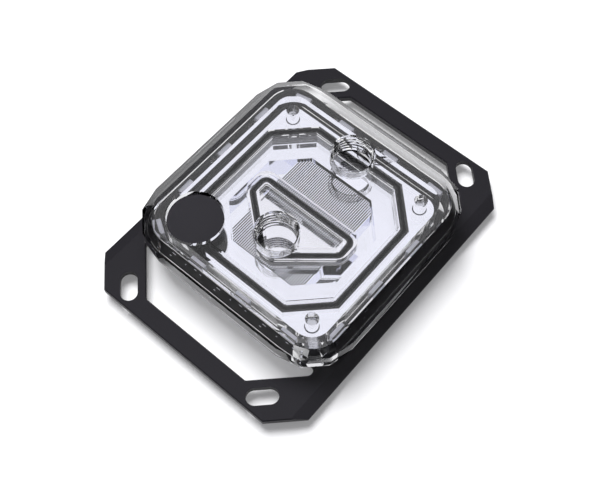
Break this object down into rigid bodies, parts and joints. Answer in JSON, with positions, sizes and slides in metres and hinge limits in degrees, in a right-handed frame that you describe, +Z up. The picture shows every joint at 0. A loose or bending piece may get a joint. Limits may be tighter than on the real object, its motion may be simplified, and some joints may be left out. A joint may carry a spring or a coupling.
{
  "type": "cpu water block",
  "caption": "Liquid-cooling block for a processor: clear faceted top with two threaded ports over a finned cold plate, on a slotted black bracket.",
  "frame": {"origin": "middle of the bounding box at its underside, which is the cold plate's contact face", "axes": "+Z up through the ports, +Y along the bracket's long direction from the inlet to the outlet, X along its short direction"},
  "size_m": [0.078, 0.1036, 0.0184],
  "materials": {
    "clear_acrylic": "polished clear acrylic",
    "plated_copper": "mirror nickel plating on copper",
    "black_bracket": "satin black",
    "seal_rubber": "moulded black rubber",
    "jet_steel": "bright sheet steel",
    "strip_board": "black flexible board",
    "light_case": "white moulded case with a clear lens",
    "badge_black": "satin black",
    "screw_steel": "black oxide steel"
  },
  "bodies": {
    "root": {"clear_top": "clear_acrylic", "cold_plate": "plated_copper", "mounting_bracket": "black_bracket", "main_seal": "seal_rubber", "jet_seal": "seal_rubber", "jet_plate": "jet_steel", "led_strip": "strip_board", "badge_disc": "badge_black", "led_01": "light_case", "led_02": "light_case", "led_03": "light_case", "led_04": "light_case", "led_05": "light_case", "led_06": "light_case", "led_07": "light_case", "led_08": "light_case", "led_09": "light_case", "led_10": "light_case", "led_11": "light_case", "led_12": "light_case", "led_13": "light_case", "led_14": "light_case", "plate_screw_1": "screw_steel", "plate_screw_2": "screw_steel", "plate_screw_3": "screw_steel", "plate_screw_4": "screw_steel"}
  },
  "joints": []
}
